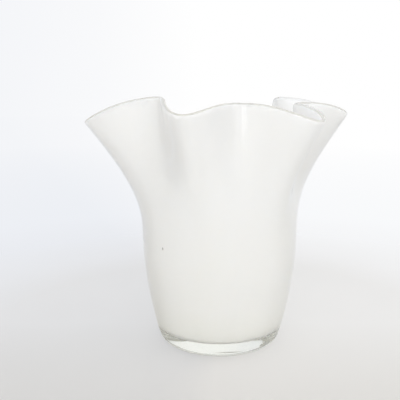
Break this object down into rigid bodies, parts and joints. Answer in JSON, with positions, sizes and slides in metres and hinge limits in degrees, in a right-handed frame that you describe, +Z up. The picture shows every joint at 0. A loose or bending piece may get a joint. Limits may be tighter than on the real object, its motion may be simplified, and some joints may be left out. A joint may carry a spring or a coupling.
{
  "type": "ruffled vase",
  "caption": "Cased glass vase with a white opal liner, a thick clear base and a flared, ruffled lip of irregular lobes and folds.",
  "frame": {"origin": "middle of the flat ground foot, on the surface that the vase stands on", "axes": "+Z up along the body's axis, -Y towards the front of the picture, +X to its right"},
  "size_m": [0.2029, 0.1832, 0.1905],
  "materials": {
    "clear_glass": "gloss",
    "opal_glass": "gloss"
  },
  "bodies": {
    "root": {"clear_casing": "clear_glass", "opal_liner": "opal_glass"}
  },
  "joints": []
}
